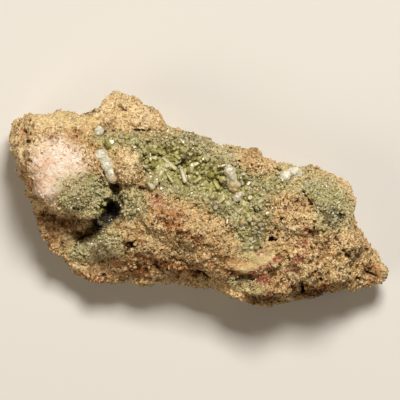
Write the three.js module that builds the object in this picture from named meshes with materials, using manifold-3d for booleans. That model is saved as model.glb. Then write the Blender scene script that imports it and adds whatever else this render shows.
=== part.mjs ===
// A fluorapatite specimen: a slab of buff, porous altered rock with crusts of small yellow-green
// apatite crystals in its hollows and a few white chalcedony knobs.
// Millimetres, +Z up. The slab lies on its flat broken back and shows its crystal face upwards.
// X runs along its length, and every place below is measured from the middle of that face.
import * as THREE from 'three';
import { ImprovedNoise } from 'three/addons/math/ImprovedNoise.js';
import { mergeVertices } from 'three/addons/utils/BufferGeometryUtils.js';
import Module from 'manifold-3d';

const wasm = await Module();
wasm.setup();

// Driving dimensions
const FACE_HEIGHT = 25; // the crystal face above the table, before its relief
const GIRDLE_HEIGHT = 12; // where the stone is widest
const BACK_DEPTH = 3; // how far the rounded back reaches below the table before it is cut flat
const CROWN_FALL = [3, 4]; // how much lower the face lies at the ends and at the long edges
const CROWN_REACH = [48, 26]; // half the length and half the width of the slab
const SLAB_TURN = -20; // degrees from X to the slab's long axis
const RIM_SQUARENESS = 9; // 2 gives a round rim, more gives steeper walls
const WALL_RELIEF = 3; // deepest hollows of the broken side walls
const SKIN_GAP = 0.3; // clearance between the rock and what grows on it
const BED_DEPTH = 1.8; // how deep a crust sits in the rock
const BED_CELL = 4.5; // the size of the facets under a crust
const CRUST_PROUD = 0.5; // how far a crust stands above the rock round it
const CRYSTAL_ROOT = 0.8; // how deep a crystal is rooted in its crust
const CRYSTAL_MARGIN = 1.3; // from a crystal's root to the edge of its crust
const LINING_THICKNESS = 1; // of the vug's lining, with the gap
const LINING_DROP = 2.2; // from the vug's mouth down to the lining's rim
const LINING_CRYSTALS = 7;
const HOLLOW_ROUGHNESS = 0.25; // unevenness of a hollow's wall, as a share of its size
const WHITE_ROUGHNESS = 0.12; // the same of the white pieces
const STONE_GRID = [35, 19, 5]; // faces along the slab, across it and up its wall
const LUMP_COUNT = 10; // small lumps broken out of the buff rock
const PIT_COUNT = 7;
const LUMP_SIZE = [1.1, 2.4]; // half the size of a lump or pit
const LUMP_FOOT = 5; // none of them is lower than this
const LUMP_REACH = 70; // the stretch of the slab that has them
const LUMP_CLEARANCE = 3.4; // from a lump's middle to the crystal crusts
const GOLDEN_ANGLE = 2.4; // radians, which spreads crystals evenly round a wall

// The slab's outline seen from above, from its upper left corner round by the right-hand tip
const OUTLINE = [
  [-46.8, 19.8], [-44.4, 20.3], [-43.6, 21.6], [-40.9, 21.2], [-38.8, 22.2], [-33.5, 22.1],
  [-30.1, 21.4], [-26.2, 21.2], [-24.9, 23.7], [-23.5, 26.4],
  [-21.8, 27.8], [-19.6, 26.5], [-14.7, 24.6], [-12.2, 23.3], [-9.9, 21.2], [-8.5, 18.9],
  [-3.9, 17.5], [1.9, 15.5], [5.0, 13.5], [7.9, 13.4], [11.2, 12.4], [14.1, 13.1],
  [15.6, 10.2], [18.2, 9.3], [21.2, 9.4], [25.6, 7.8], [27.9, 8.8],
  [29.7, 7.2], [32.9, 6.7], [37.5, 3.8], [38.9, 0.5], [38.9, -2.5], [39.3, -7.4],
  [43.0, -11.4], [45.8, -16.4], [47.2, -17.9], [47.4, -19.3], [45.9, -21.0],
  [41.6, -21.3], [38.0, -22.2], [33.3, -22.7], [31.3, -21.5], [30.2, -23.6], [27.4, -25.3],
  [23.8, -25.2], [21.0, -25.6], [17.9, -26.9], [15.3, -26.8], [12.5, -25.8],
  [7.3, -23.8], [1.5, -21.1], [-0.7, -22.9], [-2.6, -21.7], [-5.9, -20.5], [-11.9, -21.3],
  [-17.4, -20.8], [-27.4, -20.9], [-31.9, -17.8], [-33.8, -14.9], [-35.3, -14.3], [-38.0, -11.4],
  [-40.4, -8.0], [-41.1, -4.0], [-41.8, -0.8], [-43.6, 2.4], [-44.0, 4.8], [-46.0, 7.0],
  [-46.3, 10.0], [-47.9, 12.6], [-48.1, 15.5], [-47.6, 17.5],
];

// Rounded rises and hollows of the face: middle, half sizes, turn in degrees, height, and how much
// of each is a flat top
const LUMPS = [
  { at: [-34.5, 9.5], size: [14, 14], turn: -15, rise: 4, flat: 0.55 }, // the left block
  { at: [-17.5, 8.6], size: [5.2, 6.6], turn: 10, rise: 4.2, flat: 0.25 }, // the tan knob
  { at: [-18, 20], size: [11, 7], turn: -25, rise: 1.5, flat: 0.2 }, // the top lobe
  { at: [-3, 6.8], size: [14.5, 7.5], turn: -20, rise: -4.6, flat: 0.3 }, // the crystal hollow
  { at: [9.5, 0.8], size: [9, 7], turn: -40, rise: -3.2, flat: 0.2 },
  { at: [14, -9.5], size: [5, 6.5], turn: 0, rise: -2.6, flat: 0.2 },
  { at: [-6.5, -5.6], size: [15, 5.6], turn: -20, rise: 3.6, flat: 0.3 }, // the tan tongue below it
  { at: [1, 15], size: [12, 4], turn: -24, rise: 1.4, flat: 0.2 }, // the ridge above it
  { at: [14.5, 10], size: [6, 5], turn: -20, rise: 2.2, flat: 0.3 },
  { at: [26.5, -2], size: [12, 8], turn: -10, rise: 2.6, flat: 0.4 }, // the right-hand plateau
  { at: [34, 3], size: [6, 6], turn: -30, rise: 1.4, flat: 0.2 },
  { at: [24.5, -17], size: [9, 5], turn: 20, rise: 1.6, flat: 0.3 },
  { at: [41, -18], size: [8, 7], turn: 0, rise: -6, flat: 0.2 }, // the wedge at the tip
  { at: [-28.5, -8.5], size: [4.5, 5], turn: 30, rise: -4.5, flat: 0.3 }, // round the vug's mouth
];

// Smooth broken planes in the face: middle, half sizes, turn, height there and slope along X and Y
const PLANES = [
  { at: [-35, 7.4], size: [10.5, 9.5], turn: -20, height: 28.2, slope: [-0.06, 0.1] }, // pale patch
  { at: [13.6, -15], size: [6.6, 4.4], turn: 14, height: 22.4, slope: [0.08, 0.28] }, // smooth facet
  { at: [42, -16.4], size: [5, 4.5], turn: -45, height: 15.2, slope: [-0.35, 0.1] },
];

// Drops in the face along a line: the ground falls by `drop` within `width` on the right of the way
// from `from` to `to`, and rises again past `reach`
const LEDGES = [
  { from: [-45, -1.6], to: [-24, -5.6], drop: 8, width: 2.2, reach: 30, fade: 3 }, // under the left block
  { from: [-26, -8.5], to: [9, -14.5], drop: 7.5, width: 9, reach: 30, fade: 5 }, // the lower slope
  { from: [7.5, -18.6], to: [23, -14], drop: 4.2, width: 1.8, reach: 5, fade: 3 }, // under the smooth facet
  { from: [-6, -15.6], to: [6.5, -19], drop: 2.6, width: 2, reach: 7, fade: 3 },
  { from: [22, -21], to: [46, -19.5], drop: 5, width: 3, reach: 20, fade: 4 }, // the lower right edge
];

// Hollows that undercut the face: middle, half sizes, turn about Z and tilt about their own X
const HOLLOWS = [
  { at: [-22.3, -3.4, 22], size: [4.1, 4.5, 9.5], turn: -25, tilt: 12 }, // the vug
  { at: [-25.6, -6.1, 20.5], size: [4.4, 2, 3.6], turn: 28, tilt: 20 }, // its lower left arm
  { at: [-20.6, 1.8, 24], size: [1.6, 4, 4.2], turn: 16, tilt: 0 }, // the trench above it
  { at: [-22.8, 6.2, 26.3], size: [1.2, 3.8, 2.4], turn: 28, tilt: 0 },
  { at: [-36.5, -4.4, 19.6], size: [9.5, 2.8, 2.8], turn: -10, tilt: 25 }, // under the left block
  { at: [-29.5, -9, 19.8], size: [3.4, 0.9, 2.4], turn: 18, tilt: 10 },
  { at: [-17, -11.3, 21.7], size: [2.4, 0.9, 2], turn: -8, tilt: 15 },
  { at: [1.5, -17.6, 15.8], size: [5.5, 1.7, 1.9], turn: -14, tilt: 25 },
  { at: [12.5, -18.9, 18.3], size: [5, 1.5, 1.8], turn: 12, tilt: 25 },
  { at: [25.5, -21.6, 15.5], size: [1.2, 2.6, 3], turn: -20, tilt: 0 },
  { at: [7.2, 3.2, 22.6], size: [1, 1.5, 2.4], turn: 15, tilt: 0 }, // beside the middle knob
  { at: [17.8, -9.9, 22.6], size: [1.2, 0.8, 2.2], turn: -10, tilt: 0 },
];

// Crystal crusts: outline seen from above, how many crystals stand out, and their size range
const CRUSTS = [
  {
    name: 'apatite_crust_centre',
    edge: [
      [-24, 17], [-15, 17.4], [-7, 17.2], [3, 12.6], [8.5, 10], [11.5, 6], [16.5, 4.5], [20.5, 7.4],
      [22.6, 5], [18.5, 0], [17.8, -8], [14.4, -12.6], [11, -12], [8.5, -6.6], [-1, -1.2],
      [-11, 1.8], [-13.8, 5], [-14.6, 10.4], [-18.4, 13.4], [-23.6, 13.8],
    ],
    crystals: 22, radius: [0.55, 1.05], height: [1.4, 2.6],
  },
  {
    name: 'apatite_crust_left',
    edge: [
      [-37.5, -0.6], [-33.4, 2], [-30, 5], [-26.4, 6.6], [-23.4, 3], [-23.6, 0.2], [-26.4, -3.2],
      [-30.4, -2.2], [-36, -1.2],
    ],
    crystals: 8, radius: [0.5, 0.9], height: [1.1, 1.9],
  },
  {
    name: 'apatite_crust_lower',
    edge: [
      [-33.2, -14.4], [-30.6, -10.8], [-27, -9.4], [-22.6, -8.2], [-18.4, -9.6], [-19.2, -13.6],
      [-23.6, -15.2], [-28.4, -16.4], [-31.4, -16.2],
    ],
    crystals: 7, radius: [0.5, 0.85], height: [1.1, 1.8],
  },
  {
    name: 'apatite_crust_right',
    edge: [
      [25.2, 2.6], [26.4, 5.4], [31.6, 4.4], [35, 1], [35.4, -5.2], [31.6, -6.4], [28.6, -2.4],
    ],
    crystals: 8, radius: [0.45, 0.75], height: [1, 1.6],
  },
];

// Single crystals that show from a step away: root, lean from upright, heading, radius and length
const LONG_CRYSTALS = [
  { at: [-9.6, 10.2], lean: 62, heading: -38, radius: 0.6, length: 4.2 },
  { at: [-9.8, 7.4], lean: 60, heading: -30, radius: 0.5, length: 2.6 },
  { at: [-4.1, 7.2], lean: 66, heading: -92, radius: 0.75, length: 3.6 }, // the white one
  { at: [-1.6, 7.6], lean: 20, heading: 80, radius: 1.1, length: 2.4 },
  { at: [-9.6, 3.6], lean: 55, heading: 140, radius: 0.55, length: 2.8 },
  { at: [-13, 3.4], lean: 40, heading: 60, radius: 1, length: 2.4 },
];

// Smooth white pieces, each of rounded bodies that have grown together: root on the face, and from
// there each body's middle, half sizes and turn
const WHITE_PIECES = [
  {
    name: 'chalcedony_stalk',
    root: [-23.4, 8.9],
    bodies: [
      { at: [-1.5, 2.5, 0.4], size: [1.5, 1.3, 1.6], turn: 0 },
      { at: [0, 0, 0.2], size: [1.1, 2.5, 1.7], turn: 30 },
      { at: [1.5, -2.6, -0.2], size: [1, 1.9, 1.7], turn: 20 },
    ],
  },
  {
    name: 'chalcedony_knob_left',
    root: [-25.4, 17.1],
    bodies: [{ at: [0, 0, 0.6], size: [1.4, 1.2, 1.6], turn: 0 }],
  },
  {
    name: 'chalcedony_knob_centre',
    root: [8.3, 5.5],
    bodies: [
      { at: [-0.4, 1.5, 1.2], size: [1.5, 2.2, 2.6], turn: 8 },
      { at: [0.4, -1.5, 0.7], size: [1.6, 1.8, 2.6], turn: 0 },
    ],
  },
  {
    name: 'chalcedony_knob_right',
    root: [22.2, 6.3],
    bodies: [
      { at: [-1.4, -0.5, 0.8], size: [1.9, 1.3, 1.8], turn: 15 },
      { at: [1.5, 0.6, 0.6], size: [1.9, 1.2, 1.8], turn: -15 },
    ],
  },
  {
    name: 'white_crystal',
    root: [9.6, 0.8],
    bodies: [{ at: [0, 0, 0.9], size: [1.3, 1, 1.9], turn: -20 }],
  },
];

const BUFF = new THREE.MeshStandardMaterial({ color: 0xcfa569, roughness: 0.95, metalness: 0 });
const APATITE = new THREE.MeshStandardMaterial({ color: 0x9c9c5a, roughness: 0.35, metalness: 0 });
const WHITE = new THREE.MeshStandardMaterial({ color: 0xd8d4c0, roughness: 0.4, metalness: 0 });

const UP = new THREE.Vector3(0, 0, 1);
const SKY = 60; // a height above every part of the stone
const perlin = new ImprovedNoise();
const grain = (x, y, z, size) => perlin.noise(x / size, y / size, z / size);
const step = (low, high, x) => THREE.MathUtils.smoothstep(x, low, high);
const radians = THREE.MathUtils.degToRad;

// A repeatable row of numbers from 0 to 1
function dice(seed) {
  let state = seed;
  return () => {
    state = (Math.imul(state, 1664525) + 1013904223) >>> 0;
    return state / 4294967296;
  };
}

// A direction that leans from upright towards a heading, in degrees
function fromUpright(lean, heading) {
  const out = Math.sin(radians(lean));
  const along = radians(heading);
  return new THREE.Vector3(out * Math.cos(along), out * Math.sin(along), Math.cos(radians(lean)));
}

// A point in a feature's own axes, as a share of its half sizes
function inFeature(x, y, { at, size, turn }) {
  const c = Math.cos(radians(turn));
  const s = Math.sin(radians(turn));
  const dx = x - at[0];
  const dy = y - at[1];
  return [(dx * c + dy * s) / size[0], (dy * c - dx * s) / size[1]];
}

function lumpHeight(x, y, lump) {
  const [u, v] = inFeature(x, y, lump);
  return lump.rise * (1 - step(lump.flat, 1, Math.hypot(u, v)));
}

function ledgeHeight(x, y, { from, to, drop, width, reach, fade }) {
  const length = Math.hypot(to[0] - from[0], to[1] - from[1]);
  const ux = (to[0] - from[0]) / length;
  const uy = (to[1] - from[1]) / length;
  const along = (x - from[0]) * ux + (y - from[1]) * uy;
  const across = (x - from[0]) * uy - (y - from[1]) * ux + grain(x, y, drop, 4);
  const ends = step(-fade, fade, along) * (1 - step(length - fade, length + fade, along));
  return -drop * ends * step(0, width, across) * (1 - step(reach, reach + fade, across));
}

function planeHeight(x, y, below, { at, size, turn, height, slope }) {
  const [u, v] = inFeature(x, y, { at, size, turn });
  const plane = height + slope[0] * (x - at[0]) + slope[1] * (y - at[1]);
  return THREE.MathUtils.lerp(plane, below, step(0.75, 1.05, Math.hypot(u, v)));
}

// How high the crystal face stands above the table at a place on it
function faceHeight(x, y) {
  const [u, v] = inFeature(x, y, { at: [0, 0], size: CROWN_REACH, turn: SLAB_TURN });
  let height = FACE_HEIGHT - CROWN_FALL[0] * u * u - CROWN_FALL[1] * v * v;
  for (const lump of LUMPS) height += lumpHeight(x, y, lump);
  for (const ledge of LEDGES) height += ledgeHeight(x, y, ledge);
  height += 1.8 * grain(x, y, 0, 7) + 1.5 * grain(x, y, 9, 3.1);
  return PLANES.reduce((below, plane) => planeHeight(x, y, below, plane), height);
}

// The outline in equal steps, with the nearest step moved on to each corner
function outlineRing(count) {
  const path = new THREE.Shape(OUTLINE.map(([x, y]) => new THREE.Vector2(x, y)));
  path.closePath();
  const ring = path.getSpacedPoints(count).slice(0, count);
  for (const [x, y] of OUTLINE) {
    const corner = new THREE.Vector2(x, y);
    const away = ring.map((p) => p.distanceTo(corner));
    ring[away.indexOf(Math.min(...away))] = corner;
  }
  return ring;
}

// Where a place on the edge of the unit square lies on the ring, clockwise from the upper left
function ringPlace(u, v, ring) {
  const [along, across] = STONE_GRID;
  let index;
  if (v >= 1 - 1e-9) index = (along * (u + 1)) / 2;
  else if (u >= 1 - 1e-9) index = along + (across * (1 - v)) / 2;
  else if (v <= -1 + 1e-9) index = along + across + (along * (1 - u)) / 2;
  else index = 2 * along + across + (across * (v + 1)) / 2;
  const low = Math.floor(index) % ring.length;
  return ring[low].clone().lerp(ring[(low + 1) % ring.length], index - Math.floor(index));
}

// The ring smoothed, as the stone's outline is well above and below its widest level
function softened(ring) {
  const reach = 4;
  return ring.map((_, i) => {
    const sum = new THREE.Vector2();
    for (let k = -reach; k <= reach; k += 1) sum.add(ring[(i + k + ring.length) % ring.length]);
    return sum.divideScalar(2 * reach + 1);
  });
}

// The stone starts as a box of many faces, which is pressed into the outline and the relief
function stoneBlank() {
  const blank = new THREE.BoxGeometry(2, 2, 2, ...STONE_GRID);
  const ring = outlineRing(2 * (STONE_GRID[0] + STONE_GRID[1]));
  const softRing = softened(ring);
  const places = blank.getAttribute('position');
  for (let i = 0; i < places.count; i += 1) {
    const [u, v, w] = [places.getX(i), places.getY(i), places.getZ(i)];
    const out = Math.max(Math.abs(u), Math.abs(v), 1e-6);
    const rounding = (out ** RIM_SQUARENESS + Math.abs(w) ** RIM_SQUARENESS) ** (-1 / RIM_SQUARENESS);
    const rise = Math.abs(w) * rounding;
    const rim = ringPlace(u / out, v / out, ring);
    rim.lerp(ringPlace(u / out, v / out, softRing), step(0.1, 0.8, rise));
    const broken = step(-0.35, 0.35, grain(rim.x, rim.y, 14 * w, 6)) * step(0.05, 0.4, rise) * out;
    const x = rim.x * (out * rounding - (broken * WALL_RELIEF) / rim.length());
    const y = rim.y * (out * rounding - (broken * WALL_RELIEF) / rim.length());
    const girdle = GIRDLE_HEIGHT + 7 * grain(rim.x, rim.y, 5, 11);
    const far = w > 0 ? faceHeight(x, y) : -BACK_DEPTH + 2.5 * grain(x, y, 30, 12);
    places.setXYZ(i, x, y, girdle + rise * (far - girdle));
  }
  return blank;
}

// A closed three.js geometry as a solid, and back
function solidOf(geometry) {
  const bare = geometry.clone();
  bare.deleteAttribute('normal');
  bare.deleteAttribute('uv');
  const merged = mergeVertices(bare, 1e-4);
  return new wasm.Manifold(new wasm.Mesh({
    numProp: 3,
    vertProperties: new Float32Array(merged.getAttribute('position').array),
    triVerts: new Uint32Array(merged.index.array),
  }));
}

function geometryOf(solid) {
  const { vertProperties, triVerts } = solid.getMesh();
  const geometry = new THREE.BufferGeometry();
  geometry.setAttribute('position', new THREE.BufferAttribute(new Float32Array(vertProperties), 3));
  geometry.setIndex(new THREE.BufferAttribute(new Uint32Array(triVerts), 1));
  geometry.computeVertexNormals();
  return geometry;
}

const union = (solids) => solids.reduce((joined, solid) => joined.add(solid));
const largest = (solid) => solid.decompose().reduce((a, b) => (a.volume() > b.volume() ? a : b));

// A rounded lump or hollow with an uneven surface
function pebble({ at, size, turn = 0, tilt = 0 }, detail, roughness) {
  const ball = new THREE.IcosahedronGeometry(1, detail);
  const places = ball.getAttribute('position');
  const point = new THREE.Vector3();
  for (let i = 0; i < places.count; i += 1) {
    point.fromBufferAttribute(places, i);
    point.multiplyScalar(1 + roughness * grain(point.x + at[0], point.y + at[1], point.z, 0.7));
    places.setXYZ(i, point.x, point.y, point.z);
  }
  const turned = new THREE.Euler(radians(tilt), 0, radians(turn), 'ZXY');
  ball.scale(...size);
  ball.applyQuaternion(new THREE.Quaternion().setFromEuler(turned));
  return ball.translate(...at);
}

// Large hollows are rounder than small ones
const fineness = (hollow) => (Math.max(...hollow.size) > 3.7 ? 1 : 0);

// The rock before its hollows, with its back cut flat by the table
function makeSlab() {
  const table = new THREE.BoxGeometry(200, 200, 20).translate(0, 0, -10);
  return solidOf(stoneBlank()).subtract(solidOf(table));
}

const carve = (solid) => HOLLOWS.reduce(
  (left, hollow) => left.subtract(solidOf(pebble(hollow, fineness(hollow), HOLLOW_ROUGHNESS))),
  solid,
);

// Whether a place lies within an outline or beside it
const nearby = (x, y, edge) => [-LUMP_CLEARANCE, 0, LUMP_CLEARANCE].some(
  (dx) => [-LUMP_CLEARANCE, 0, LUMP_CLEARANCE].some((dy) => inside(x + dx, y + dy, edge)),
);

// Small lumps and pits all over the buff rock, clear of the crusts and of the flat base
function roughen(rock, seed) {
  const random = dice(seed);
  const rockMesh = new THREE.Mesh(geometryOf(rock));
  let rough = rock;
  let made = 0;
  while (made < LUMP_COUNT + PIT_COUNT) {
    const target = new THREE.Vector3(LUMP_REACH * (random() - 0.5), 0, GIRDLE_HEIGHT);
    target.applyAxisAngle(UP, radians(SLAB_TURN));
    const way = fromUpright(85 * random(), 360 * random());
    const ray = new THREE.Raycaster(target.addScaledVector(way, LUMP_REACH), way.clone().negate());
    const { x, y, z } = ray.intersectObject(rockMesh)[0].point;
    if (z > LUMP_FOOT && !CRUSTS.some(({ edge }) => nearby(x, y, edge))) {
      const half = THREE.MathUtils.lerp(...LUMP_SIZE, random() ** 2);
      const size = [half * 1.3, half, half * 0.7];
      const lump = { at: [x, y, z], size, turn: 360 * random(), tilt: 40 * random() };
      const solid = solidOf(pebble(lump, 0, 0.3));
      rough = made < LUMP_COUNT ? rough.add(solid) : rough.subtract(solid);
      made += 1;
    }
  }
  return largest(rough);
}

// A six-sided crystal standing on its root, with a flat end or a low point
function crystalShape(radius, length, pointed) {
  const shoulder = pointed ? length - radius * 0.7 : length;
  const profile = [[0, 0], [radius, 0], [radius, shoulder], [0, length]];
  const shape = new THREE.LatheGeometry(profile.map(([x, y]) => new THREE.Vector2(x, y)), 6);
  return shape.rotateX(Math.PI / 2);
}

function standCrystal(shape, root, direction, spin) {
  const turned = new THREE.Quaternion().setFromUnitVectors(UP, direction);
  turned.multiply(new THREE.Quaternion().setFromAxisAngle(UP, spin));
  return shape.applyQuaternion(turned).translate(root.x, root.y, root.z);
}

function inside(x, y, edge) {
  let within = false;
  edge.forEach(([ax, ay], i) => {
    const [bx, by] = edge[(i + 1) % edge.length];
    if (ay > y !== by > y && x < ax + ((bx - ax) * (y - ay)) / (by - ay)) within = !within;
  });
  return within;
}

// The height of the slab's surface, with its rounded rim
function surfaceHeight(x, y) {
  const ray = new THREE.Raycaster(new THREE.Vector3(x, y, SKY), new THREE.Vector3(0, 0, -1));
  const hit = ray.intersectObject(slabMesh)[0];
  return hit ? hit.point.z : GIRDLE_HEIGHT;
}

const onFace = ([x, y, above]) => new THREE.Vector3(x, y, surfaceHeight(x, y) + above);

// The outline moved inwards all round
function inset(edge, by) {
  const points = edge.map(([x, y]) => new THREE.Vector2(x, y));
  const side = Math.sign(THREE.ShapeUtils.area(points));
  const inward = points.map((p, i) => {
    const way = points[(i + 1) % points.length].clone().sub(p).normalize();
    return new THREE.Vector2(-way.y, way.x).multiplyScalar(side);
  });
  return points.map((p, i) => {
    const before = inward[(i + points.length - 1) % points.length];
    return p.clone().addScaledVector(before.clone().add(inward[i]), by / (1 + before.dot(inward[i])));
  });
}

// The room that a crust fills: all that is above a coarse copy of the face, sunk into the rock
function makeBed(edge, gap) {
  const box = new THREE.Box2().setFromPoints(inset(edge, 0)).expandByScalar(1);
  const size = box.getSize(new THREE.Vector2());
  const middle = box.getCenter(new THREE.Vector2());
  const cells = [Math.ceil(size.x / BED_CELL), Math.ceil(size.y / BED_CELL)];
  const above = new THREE.BoxGeometry(size.x, size.y, 1, ...cells, 1).translate(middle.x, middle.y, 0);
  const places = above.getAttribute('position');
  for (let i = 0; i < places.count; i += 1) {
    const floor = surfaceHeight(places.getX(i), places.getY(i)) - BED_DEPTH + gap;
    places.setZ(i, places.getZ(i) < 0 ? floor : SKY);
  }
  const column = new THREE.ExtrudeGeometry(new THREE.Shape(inset(edge, gap)), {
    depth: 2 * SKY,
    bevelEnabled: false,
  });
  return solidOf(above).intersect(solidOf(column));
}

// Short crystals at random places of a crust
function druse({ edge, crystals, radius, height }, random) {
  const rooting = inset(edge, CRYSTAL_MARGIN);
  const { min, max } = new THREE.Box2().setFromPoints(rooting);
  const bounds = rooting.map((p) => p.toArray());
  const grown = [];
  while (grown.length < crystals) {
    const x = THREE.MathUtils.lerp(min.x, max.x, random());
    const y = THREE.MathUtils.lerp(min.y, max.y, random());
    if (inside(x, y, bounds)) {
      const lean = new THREE.Vector3(random() - 0.5, random() - 0.5, 1).normalize();
      const size = THREE.MathUtils.lerp(...radius, random());
      const length = THREE.MathUtils.lerp(...height, random());
      const shape = crystalShape(size, length, grown.length % 2 === 0);
      const root = onFace([x, y, CRUST_PROUD - CRYSTAL_ROOT]);
      grown.push(solidOf(standCrystal(shape, root, lean, random() * Math.PI)));
    }
  }
  return grown;
}

function longCrystal({ at, lean, heading, radius, length }) {
  const root = onFace([...at, CRUST_PROUD - radius / 2]);
  return solidOf(standCrystal(crystalShape(radius, length, true), root, fromUpright(lean, heading), 0));
}

// A crust has the rock's own relief, with crystals fused to it, and ends short of its bed's walls
function makeCrust(crust, slab, extras, seed) {
  const crystals = [...druse(crust, dice(seed)), ...extras];
  return union([slab.translate([0, 0, CRUST_PROUD]), ...crystals]).intersect(makeBed(crust.edge, SKIN_GAP));
}

// The vug's lining is a thin shell of its wall, with crystals pointing inwards
function makeLining(vug, slab, seed) {
  const random = dice(seed);
  const shrunk = (depth) => solidOf(pebble(
    { ...vug, size: vug.size.map((half) => half - depth) },
    1,
    HOLLOW_ROUGHNESS,
  ));
  let lining = shrunk(SKIN_GAP).subtract(shrunk(LINING_THICKNESS));
  const middle = new THREE.Vector3(...vug.at);
  for (let i = 0; i < LINING_CRYSTALS; i += 1) {
    const round = (i + random()) * GOLDEN_ANGLE;
    const level = THREE.MathUtils.lerp(-0.5, 0.35, random());
    const wall = new THREE.Vector3(Math.cos(round), Math.sin(round), level);
    const inward = wall.clone().multiply(new THREE.Vector3(-1, -1, 0.4)).normalize();
    const root = wall.multiply(new THREE.Vector3(...vug.size)).multiplyScalar(0.86).add(middle);
    const crystal = crystalShape(THREE.MathUtils.lerp(0.4, 0.7, random()), 1.3, true);
    lining = lining.add(solidOf(standCrystal(crystal, root, inward, random() * Math.PI)));
  }
  return lining.intersect(shrunk(SKIN_GAP)).intersect(slab.translate([0, 0, -LINING_DROP]));
}

function named(name, solid, material) {
  const mesh = new THREE.Mesh(geometryOf(solid), material);
  mesh.name = name;
  return mesh;
}

const slab = makeSlab();
const slabMesh = new THREE.Mesh(geometryOf(slab));
const beds = CRUSTS.map(({ edge }) => makeBed(edge, 0));
const rock = roughen(carve(beds.reduce((left, bed) => left.subtract(bed), slab)), 7);
const raised = slab.translate([0, 0, SKIN_GAP]);
const stone = new THREE.Group();
stone.add(named('matrix', rock, BUFF));
stone.add(named('vug_lining', largest(makeLining(HOLLOWS[0], slab, 5)), APATITE));

// The crusts keep clear of the white pieces, which keep clear of the rock
const whiteRoom = [];
for (const { name, root, bodies } of WHITE_PIECES) {
  const place = onFace([...root, 0]);
  const grow = (by) => bodies.map(({ at, size, turn }) => solidOf(pebble(
    { at: place.clone().add(new THREE.Vector3(...at)).toArray(), size: size.map((h) => h + by), turn },
    1,
    WHITE_ROUGHNESS,
  )));
  stone.add(named(name, largest(union(grow(0)).subtract(raised).subtract(slab)), WHITE));
  whiteRoom.push(...grow(1.5 * SKIN_GAP));
}
CRUSTS.forEach((crust, i) => {
  const extras = i === 0 ? LONG_CRYSTALS.map(longCrystal) : [];
  const grown = makeCrust(crust, slab, extras, 11 + i);
  stone.add(named(crust.name, largest(carve(grown).subtract(union(whiteRoom))), APATITE));
});

// The origin is on the table, under the middle of the specimen
const bounds = new THREE.Box3().setFromObject(stone);
const middle = bounds.getCenter(new THREE.Vector3());
stone.position.set(-middle.x, -middle.y, -bounds.min.z);

export default stone;
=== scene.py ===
import math

import bpy
from mathutils import Euler, Matrix, Vector


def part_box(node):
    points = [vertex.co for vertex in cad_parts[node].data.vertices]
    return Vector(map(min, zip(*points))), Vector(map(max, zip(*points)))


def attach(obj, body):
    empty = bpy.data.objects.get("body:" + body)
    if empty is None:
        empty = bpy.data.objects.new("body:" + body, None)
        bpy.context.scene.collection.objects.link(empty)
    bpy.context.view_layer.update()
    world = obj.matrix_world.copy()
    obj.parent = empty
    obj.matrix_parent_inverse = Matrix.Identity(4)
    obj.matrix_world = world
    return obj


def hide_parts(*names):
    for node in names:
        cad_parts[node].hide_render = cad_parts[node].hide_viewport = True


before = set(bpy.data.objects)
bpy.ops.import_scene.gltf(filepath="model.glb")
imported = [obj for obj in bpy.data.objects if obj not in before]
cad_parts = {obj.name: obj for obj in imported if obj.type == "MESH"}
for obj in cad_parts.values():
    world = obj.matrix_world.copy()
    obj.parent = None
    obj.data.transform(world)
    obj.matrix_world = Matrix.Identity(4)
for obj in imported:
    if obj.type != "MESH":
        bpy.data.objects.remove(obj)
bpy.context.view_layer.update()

# The studio: a plain pale floor under soft light that comes from the picture's top edge, and a
# long lens straight above the stone, which lies on its back. At the stone's widest level one
# pixel of the 400 x 400 picture is a quarter of a millimetre.
MM = 0.001
PICTURE_WIDTH = 100 * MM
FACE_MIDDLE = Vector((0.126, -0.063, 0)) * MM  # the picture's middle, from the stone's origin
WIDEST_LEVEL = 12 * MM
LENS = 500.0
SENSOR = 36.0
KEY_LIGHT = {"place": (0.22, 0.72, 1.22), "size": 0.4, "power": 22.5, "colour": (1.0, 0.96, 0.89)}
FILL_LIGHT = {"place": (-0.85, -0.45, 1.0), "size": 0.7, "power": 4.4, "colour": (1.0, 0.87, 0.68)}
SKY_COLOUR = (1.0, 0.89, 0.72, 1)
SKY_STRENGTH = 0.07
FLOOR_COLOUR = (0.72, 0.7, 0.67, 1)

bpy.ops.object.select_all(action="DESELECT")
lens_distance = PICTURE_WIDTH * LENS / SENSOR
bpy.ops.object.camera_add(location=FACE_MIDDLE + Vector((0, 0, WIDEST_LEVEL + lens_distance)))
camera = bpy.context.object
camera.name = "camera"
camera.data.lens = LENS
camera.data.sensor_width = SENSOR
bpy.context.scene.camera = camera
for label, light in (("key_light", KEY_LIGHT), ("fill_light", FILL_LIGHT)):
    facing = (-Vector(light["place"])).to_track_quat("-Z", "Y").to_euler()
    bpy.ops.object.light_add(type="AREA", location=light["place"], rotation=facing)
    lamp = bpy.context.object
    lamp.name = label
    lamp.data.size = light["size"]
    lamp.data.energy = light["power"]
    lamp.data.color = light["colour"]
world = bpy.data.worlds.new("studio")
world.use_nodes = True
world.node_tree.nodes["Background"].inputs["Color"].default_value = SKY_COLOUR
world.node_tree.nodes["Background"].inputs["Strength"].default_value = SKY_STRENGTH
bpy.context.scene.world = world
bpy.context.scene.view_settings.view_transform = "Standard"

bpy.ops.mesh.primitive_plane_add(size=3, location=(0, 0, -0.05 * MM))
floor = bpy.context.object
floor.name = "floor"
floor_paint = bpy.data.materials.new("pale_floor")
floor_paint.use_nodes = True
floor_paint.node_tree.nodes["Principled BSDF"].inputs["Base Color"].default_value = FLOOR_COLOUR
floor_paint.node_tree.nodes["Principled BSDF"].inputs["Roughness"].default_value = 0.8
floor.data.materials.append(floor_paint)

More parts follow.
